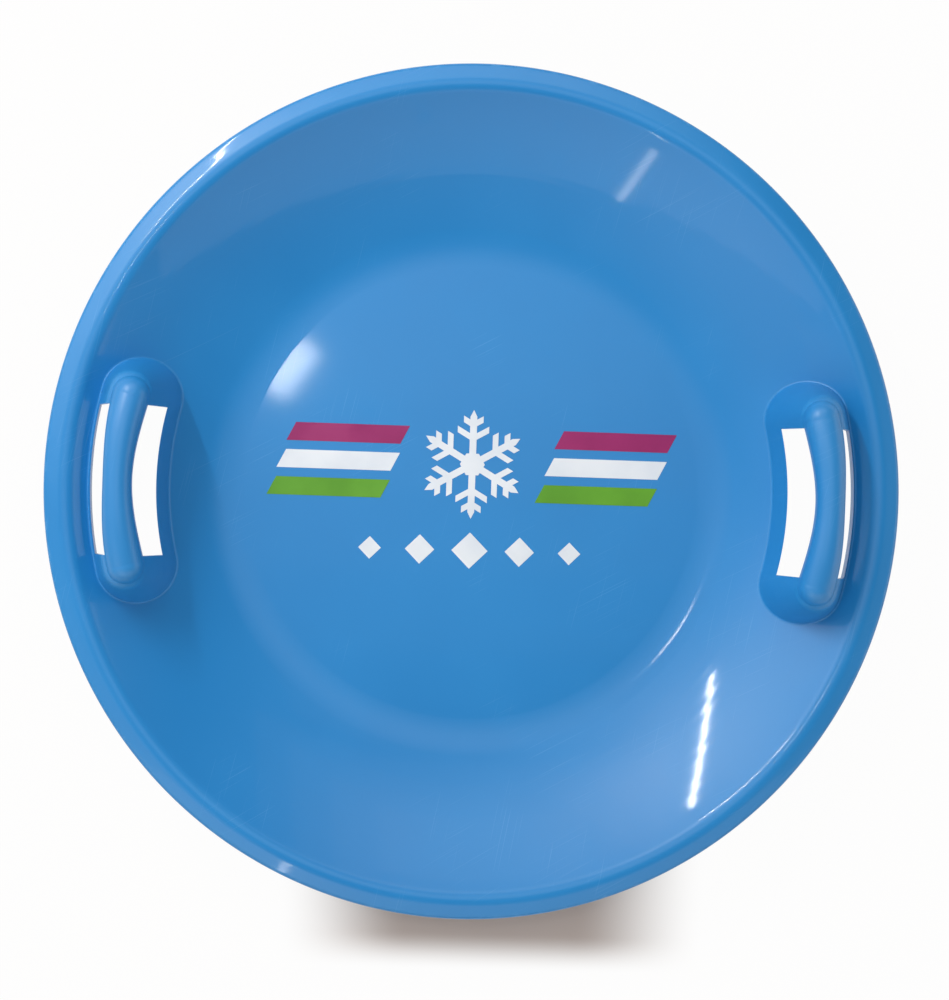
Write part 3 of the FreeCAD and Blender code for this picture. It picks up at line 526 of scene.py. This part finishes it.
def grip_shell():
    """Skin of a grip: a closed section carried round it along the cross lines.

    From the slots' edge it runs out over the roof, down the leaning flank, through a small fillet onto the wall,
    inside the wall's opening to the foot, round the foot, and back up the inner flank and under the roof. Where
    the flanks meet the wall is settled in a few rounds. Round the domed ends the foot's edge is a circle that is
    shifted towards the middle of the sled.
    """
    lines = grip_lines()
    count = len(lines)
    edge = slot_edges(lines)[:, None]

    def ring(distance, height):
        """Points at distances from the middle line and at heights."""
        distance, height = np.broadcast_arrays(distance, height)
        return np.concatenate([plan_at(lines, distance), height[..., None]], axis=-1)

    def flank(height, inset=0.0):
        """Distance of the leaning flank from the middle line at a height."""
        return DOME_HALF_WIDTH + (DOME_TOP - height) * np.tan(DOME_DRAFT) - inset / np.cos(DOME_DRAFT)

    def seat(distance, depth):
        """Height of the wall at a depth, below plan points at distances from the middle line."""
        return wall_height(np.linalg.norm(plan_at(lines, distance), axis=-1), depth)

    meeting = np.full((count, 1), DOME_HALF_WIDTH)
    inner_meeting = meeting - GRIP_SKIN
    under = SKIN + JOINT_GAP
    for _ in range(SHELL_ROUNDS):
        meeting = flank(seat(meeting, 0.0))
        inner_meeting = flank(seat(inner_meeting, under + FOOT_THICKNESS), GRIP_SKIN)
    fillet_top = seat(meeting, 0.0) + FOOT_FILLET
    shares = np.linspace(1, 0, ROOF_ROWS)[None, :, None]
    roof = plan_at(lines, flank(fillet_top)) * (1 - shares) + edge * shares
    pieces = [np.concatenate([roof, roof_height(roof)[..., None]], axis=-1)]
    turn = np.linspace(0, 1, FILLET_ROWS + 1)[None, 1:]
    outside = meeting + FOOT_FILLET
    distance = flank(fillet_top) * (1 - turn) ** 2 + 2 * meeting * turn * (1 - turn) + outside * turn ** 2
    height = (fillet_top * (1 - turn) ** 2 + 2 * seat(meeting, 0.0) * turn * (1 - turn)
              + seat(outside, 0.0) * turn ** 2)
    pieces.append(ring(distance, height))
    inside = meeting - HOLE_INSET - JOINT_GAP
    pieces.append(ring(outside, seat(outside, FILLET_TUCK)))
    pieces.append(ring(inside, seat(inside, FILLET_TUCK)))
    plate = np.linspace(0, 1, PLATE_POINTS)[None]
    fan_turn = lines[:, 3:4] - np.sign(lines[:, 1:2]) * GRIP_ANGLE
    facing = np.where(lines[:, 4:] > 0, np.cos(fan_turn), lines[:, :1])
    foot_half = (FOOT_REACHES[0] + FOOT_REACHES[1]) / 2
    foot_shift = (FOOT_REACHES[0] - FOOT_REACHES[1]) / 2
    foot = foot_shift * facing + np.sqrt(foot_half ** 2 - foot_shift ** 2 * (1 - facing ** 2))
    top = inside * (1 - plate) + foot * plate
    pieces.append(ring(top, seat(top, under)))
    bottom = foot * (1 - plate) + inner_meeting * plate
    pieces.append(ring(bottom, seat(bottom, under + FOOT_THICKNESS)))
    shares = np.linspace(0, 1, CEILING_ROWS + 1)[None, 1:, None] ** CEILING_CROWDING
    ceiling = plan_at(lines, inner_meeting) * (1 - shares) + edge * shares
    offsets, _ = spine_offset(ceiling)
    heights = dome_height(np.linalg.norm(offsets, axis=-1), GRIP_SKIN)
    pieces.append(np.concatenate([ceiling, heights[..., None]], axis=-1))
    return np.concatenate(pieces, axis=1)


def closed_grid_quads(first, count, width, closed_rows=True):
    """Quads of a grid of vertices that closes along its width, and along its count unless told otherwise."""
    numbers = first + np.arange(count * width).reshape(count, width)
    following = np.roll(numbers, -1, axis=0)
    if not closed_rows:
        numbers, following = numbers[:-1], following[:-1]
    corners = [numbers, np.roll(numbers, -1, axis=1), np.roll(following, -1, axis=1), following]
    return np.stack(corners, axis=-1).reshape(-1, 4)


def bar_sections():
    """The free bar: a U-shaped closed section, round on top and open below, at stations of equal Y.

    Each station lies on the bar's arc about the sled's axis; the stations beyond the slots are drawn in a little,
    so that they end hidden under the domes. Width and place depend on each other and are settled in a few rounds.
    """
    stations = np.linspace(-SLOT_END, SLOT_END, BAR_STATIONS)
    hidden = SLOT_END + BAR_HIDDEN_ENDS
    edge = np.concatenate([-hidden[::-1], stations, hidden])[:, None]
    drawn_in = np.where(np.abs(edge) > SLOT_END, BAR_DRAWN_IN, 0.0)
    crest = np.linspace(0, np.pi, BAR_CREST_POINTS)
    leg = np.linspace(1, 0, BAR_LEG_POINTS + 1)[:-1]
    across = np.concatenate([np.ones_like(leg), np.cos(crest), -np.ones_like(leg)])
    up = np.concatenate([np.zeros_like(leg), np.sin(crest), np.zeros_like(leg)])
    down = np.concatenate([leg, np.zeros_like(crest), leg[::-1]])
    inset = np.repeat([0.0, GRIP_SKIN], len(across))
    across, up, down = (np.concatenate([half, half[::-1]]) for half in (across, up, down))
    radius = np.full((len(edge), len(across)), BAR_RADIUS)
    for _ in range(BAR_ROUNDS):
        place = np.arcsin(edge / radius) / BAR_ANGLE
        half = bar_half_width(place) - inset - drawn_in
        radius = BAR_RADIUS + half * across
    height = bar_axis(place) + half * up - BAR_DEPTH * down
    return np.stack([np.sqrt(radius ** 2 - edge ** 2), np.broadcast_to(edge, radius.shape), height], axis=-1)


def bar_rib(place):
    """A cross rib: a plate across the bar's inside, round on top, between two radial planes."""
    angle = place * BAR_ANGLE
    half = bar_half_width(place) - GRIP_SKIN / 2
    crest = np.linspace(0, np.pi, RIB_CREST_POINTS)
    foot = RIB_LIFT - BAR_DEPTH
    across = np.concatenate([[half], half * np.cos(crest), [-half]])
    height = bar_axis(place) + np.concatenate([[foot], half * np.sin(crest), [foot]])
    out = np.array([np.cos(angle), np.sin(angle)])
    sideways = np.array([-np.sin(angle), np.cos(angle)])
    middle = (BAR_RADIUS + across)[:, None] * out
    return np.stack([np.concatenate([middle + step * sideways, height[:, None]], axis=1)
                     for step in (-RIB_HALF_THICKNESS, RIB_HALF_THICKNESS)])


def grip_mesh():
    """All of a grip: its skin, its bar and the ribs inside the bar, as vertices and groups of faces."""
    shell = grip_shell()
    bar = bar_sections()
    ribs = [bar_rib(place) for place in RIB_PLACES]
    vertices = [shell.reshape(-1, 3), bar.reshape(-1, 3)]
    first = len(vertices[0])
    total = first + len(vertices[1])
    groups = [closed_grid_quads(0, *shell.shape[:2]),
              closed_grid_quads(first, *bar.shape[:2], closed_rows=False)[:, ::-1]]
    around = bar.shape[1]
    for start, step in ((first, 1), (total - around, -1)):
        outer = start + np.arange(around // 2)
        inner = start + np.arange(around)[:around // 2 - 1:-1]
        groups.append(np.stack([outer[:-1], outer[1:], inner[1:], inner[:-1]], axis=1)[:, ::step])
    for rib in ribs:
        width = rib.shape[1]
        groups.append(closed_grid_quads(total, 2, width, closed_rows=False)[:, ::-1])
        groups.append(np.stack([total + np.arange(width), total + width + np.arange(width)[::-1]]))
        vertices.append(rib.reshape(-1, 3))
        total += 2 * width
    return np.concatenate(vertices), groups


grip_vertices, grip_faces = grip_mesh()
grip_blue = blue_plastic("moulded_grip_blue", 0.48, 0.60, 0.35)
for side, facing in (("left", -1), ("right", 1)):
    grip = new_piece(f"{side}_grip", grip_vertices * (facing, facing, 1), grip_faces)
    grip.data.materials.append(grip_blue)
    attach(grip, "root")
    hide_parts(f"{side}_handle")

# Films. The decoration on the floor is cut from thin coloured film and pressed on: a snow crystal, slanted stripes
# and a row of diamonds. The cut shapes are right as constructed, so they only get the film's printed finish.
FILM_COLOURS = {"white": ((0.74, 0.77, 0.80, 1.0), (0.66, 0.70, 0.75, 1.0)),
                "magenta": ((0.300, 0.006, 0.115, 1.0), (0.245, 0.004, 0.095, 1.0)),
                "green": ((0.105, 0.330, 0.012, 1.0), (0.085, 0.280, 0.010, 1.0))}
FILM_IOR = 1.48
FILM_ROUGHNESS = 0.32
FILM_GRAIN = 1.2e-6
RUBBED_DEPTH = 4e-6


def film_finish(name, colour, faded):
    """Printed film: an even ink that is a little faded in patches, fine rubbed scratches and a soft gloss."""
    material, place = new_material(name)
    patches = place.noise(25.0, 4.0).ease(0.35, 0.7)
    rubbed = scratches(place, 0.9, 0.0006, 0.66)
    ink = patches.between(colour, faded)
    roughness = FILM_ROUGHNESS + 0.12 * patches + 0.2 * rubbed
    height = place.noise(900.0, 2.0) * FILM_GRAIN - rubbed * RUBBED_DEPTH
    finish_material(material, place, ink, roughness, height, {"IOR": FILM_IOR})
    return material


films = {colour: film_finish(f"{colour}_printed_film", *shades) for colour, shades in FILM_COLOURS.items()}
for node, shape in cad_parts.items():
    for colour, film in films.items():
        if colour in node or (colour == "white" and (node == "snow_crystal" or node.endswith("diamond"))):
            shape.material_slots[0].material = film

# Stage. A plain sweep of paper under the sled, bright white to the camera and in reflections.
# It shows the sled's soft shadow only in painted zones below the sled and before its near edge. There the
# paper's dim warm colour is painted shade, which darkens and warms that real shadow.
WHITE = (1.0, 1.0, 1.0, 1.0)
# Dim warm paper colour: painted shade, seen only in the shadow zones, where it darkens and warms the sled's shadow.
SHADOW_PAPER = (0.60, 0.51, 0.46, 1.0)
FLOOR_DROP = 0.0006
FLOOR_REACH = 6.0
FLOOR_GLOW = 0.97
SHADOW_NEAR_END = (-0.347, -0.319)
SHADOW_FAR_END = (-0.10, -0.16)
SHADOW_MIDDLE = 0.025
SHADOW_HALF_WIDTHS = (0.155, 0.06)
SHADOW_BELOW_RADII = (0.22, 0.185)
floor_mesh = bpy.data.meshes.new("studio_floor")
floor_mesh.from_pydata([(across * FLOOR_REACH, along * FLOOR_REACH, -FLOOR_DROP)
                        for across, along in ((-1, -1), (1, -1), (1, 1), (-1, 1))], [], [(0, 1, 2, 3)])
floor = bpy.data.objects.new("studio_floor", floor_mesh)
bpy.context.scene.collection.objects.link(floor)
floor_paper, floor_place = new_material("white_paper")
floor_x, floor_y = floor_place.axis("X"), floor_place.axis("Y")
# Painted shadow zones: only here does the lit paper, and with it the sled's shadow, show through the white glow.
shadow_zone_near_edge = (floor_y.ease(*SHADOW_FAR_END) * floor_y.ease(*SHADOW_NEAR_END)
             * (floor_x - SHADOW_MIDDLE).size().ease(*SHADOW_HALF_WIDTHS))
below = floor_place.radius().ease(*SHADOW_BELOW_RADII)
shaded = floor_place.maths("MAXIMUM", shadow_zone_near_edge, below)
# Lit paper in the painted shade colour, shown only in the shadow zones.
paper = floor_place.add("ShaderNodeBsdfDiffuse", None, {"Color": SHADOW_PAPER})
glow = floor_place.add("ShaderNodeEmission", None, {"Color": WHITE, "Strength": 1.0})
camera_ray = floor_place.add("ShaderNodeLightPath", output="Is Camera Ray")
glossy_ray = floor_place.add("ShaderNodeLightPath", output="Is Glossy Ray")
seen = floor_place.maths("MAXIMUM", camera_ray, glossy_ray) * (FLOOR_GLOW - FLOOR_GLOW * shaded)
floor_shader = floor_place.add("ShaderNodeMixShader", None, {0: seen, 1: paper, 2: glow})
floor_place.add("ShaderNodeOutputMaterial", None, {"Surface": floor_shader})
floor_mesh.materials.append(floor_paper)

SKY_FILL = 0.12
scene = bpy.context.scene
scene.view_settings.view_transform = "Standard"
world = bpy.data.worlds.new("studio")
world.use_nodes = True
world.node_tree.nodes.clear()
scene.world = world
sky_start = Socket(world.node_tree, None)
sky_ray = sky_start.add("ShaderNodeLightPath", output="Is Camera Ray")
sky = sky_start.add("ShaderNodeBackground", None,
                    {"Color": WHITE, "Strength": SKY_FILL + (1.0 - SKY_FILL) * sky_ray})
sky_start.add("ShaderNodeOutputWorld", None, {"Surface": sky})


def lamp(name, place, aim, size, power, along=(1, 0, 0)):
    """Rectangular lamp at a place in metres, turned to an aim, its first side lying along a direction."""
    light = bpy.data.lights.new(name, "AREA")
    light.shape = "RECTANGLE"
    light.size, light.size_y = size
    light.energy = power
    back = (Vector(place) - Vector(aim)).normalized()
    side = (Vector(along) - back * back.dot(Vector(along))).normalized()
    holder = bpy.data.objects.new(name, light)
    holder.matrix_world = Matrix.Translation(place) @ Matrix([side, back.cross(side), back]).transposed().to_4x4()
    scene.collection.objects.link(holder)


PANEL_SHARES = np.linspace(1.0, 0.4, 4)
PANEL_STEP = 0.01


def soft_panel(name, place, aim, size, power, along=(1, 0, 0)):
    """Panel with soft edges: nested lamps of one brightness, each smaller and a little nearer to the aim."""
    step = PANEL_STEP * (Vector(aim) - Vector(place)).normalized()
    for number, share in enumerate(PANEL_SHARES):
        lamp(f"{name}_{number}", Vector(place) + number * step, aim, (size[0] * share, size[1] * share),
             power * share ** 2 / np.sum(PANEL_SHARES ** 2), along)


# Two strips give the thin streaks on the wall, a small lamp the oval on the floor, and panels the soft light.
lamp("key_strip", (-0.954, 1.074, 1.359), (0, 0, 0.03), (0.90, 0.018), 13.0, (-0.017, 0.772, -0.635))
lamp("low_strip", (-0.59, -1.435, 1.26), (0.1, 0.2, 0.04), (0.58, 0.03), 1.3, (-0.28, -0.456, -0.845))
lamp("front_lamp", (-0.202, 0.174, 1.75), (-0.13, 0.09, 0), (0.085, 0.05), 0.8, (0.575, 0.82, 0))
lamp("left_panel", (-1.90, 0.0, 0.90), (0, 0, 0), (2.0, 1.2), 3.5, (0, 1, 0))
lamp("right_panel", (1.90, 0.0, 0.50), (0, 0, 0), (2.0, 0.8), 8.5, (0, 1, 0))
soft_panel("soft_box", (-1.33, 0.93, 1.20), (0, 0, 0.03), (2.1, 1.7), 14.5, (1, 1.43, 0))
soft_panel("back_panel", (0.0, 1.65, 1.25), (0, 0, 0), (2.4, 1.6), 13.0)
lamp("low_panel", (0.0, -1.60, 1.05), (0, 0, 0), (4.5, 1.0), 19.0)
soft_panel("low_left_panel", (-1.10, -0.90, 1.35), (0, 0, 0.03), (1.4, 1.4), 3.0, (1, -1.22, 0))
soft_panel("top_panel", (0.0, 0.45, 2.30), (0, 0, 0), (2.0, 1.5), 7.0)

# The camera looks down into the sled from a little left of its middle, and is rolled slightly.
CAMERA_PLACE = np.array([-0.07, 0.0, 1.695])
CAMERA_AIM = np.array([0.00032, -0.00579, 0.0525])
CAMERA_ROLL = np.radians(1.95)
CAMERA_LENS = 84.37
SENSOR_HEIGHT = 36.0
view = CAMERA_AIM - CAMERA_PLACE
view /= np.linalg.norm(view)
level = np.cross(view, (0, 1, 0))
level /= np.linalg.norm(level)
upright = np.cross(level, view)
right = np.cos(CAMERA_ROLL) * level + np.sin(CAMERA_ROLL) * upright
up = np.cos(CAMERA_ROLL) * upright - np.sin(CAMERA_ROLL) * level
camera_data = bpy.data.cameras.new("camera")
camera_data.sensor_fit = "VERTICAL"
camera_data.sensor_height = SENSOR_HEIGHT
camera_data.lens = CAMERA_LENS
camera = bpy.data.objects.new("camera", camera_data)
camera.matrix_world = Matrix([*np.stack([right, up, -view, CAMERA_PLACE], axis=1).tolist(), (0, 0, 0, 1)])
scene.collection.objects.link(camera)
scene.camera = camera
